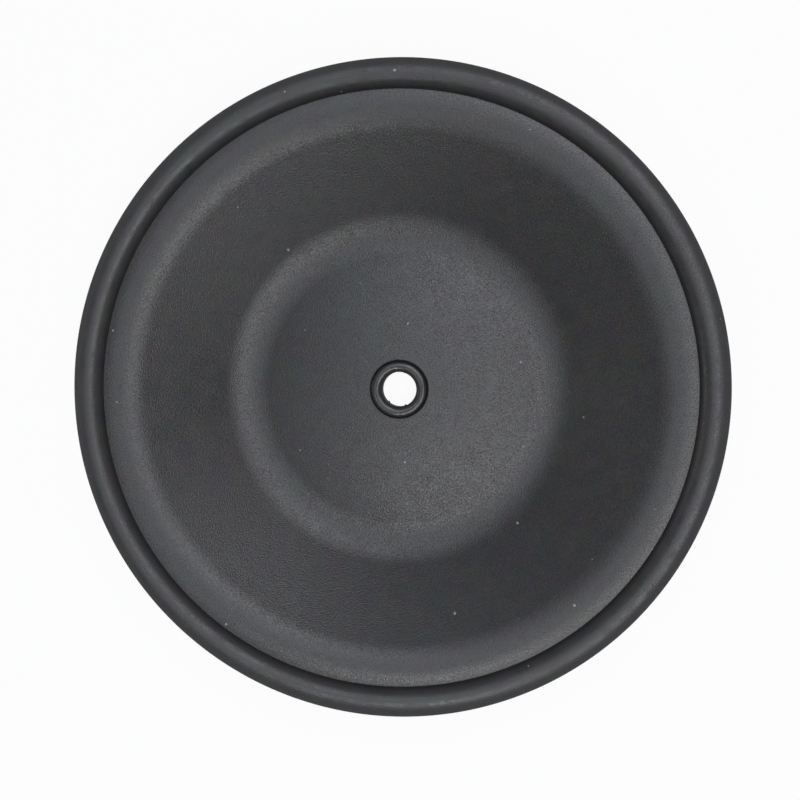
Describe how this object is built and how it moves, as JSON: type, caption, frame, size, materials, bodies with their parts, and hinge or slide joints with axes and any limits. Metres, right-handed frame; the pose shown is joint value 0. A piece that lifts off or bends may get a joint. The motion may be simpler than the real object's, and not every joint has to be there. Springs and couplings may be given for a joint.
{
  "type": "pump diaphragm",
  "caption": "Round moulded rubber pump diaphragm with a clamped rim bead, a rolled crest, a sloping web, a domed centre disc and a beaded centre hole.",
  "frame": {"origin": "on the axis, in the plane that the part rests on", "axes": "+Z along the axis of the centre hole, towards the open side of the bowl; X and Y are free, because the part is round"},
  "size_m": [0.2, 0.2, 0.0258],
  "materials": {
    "rubber": "matte moulded dark grey rubber with a fine grain"
  },
  "bodies": {
    "root": {"diaphragm": "rubber"}
  },
  "joints": []
}
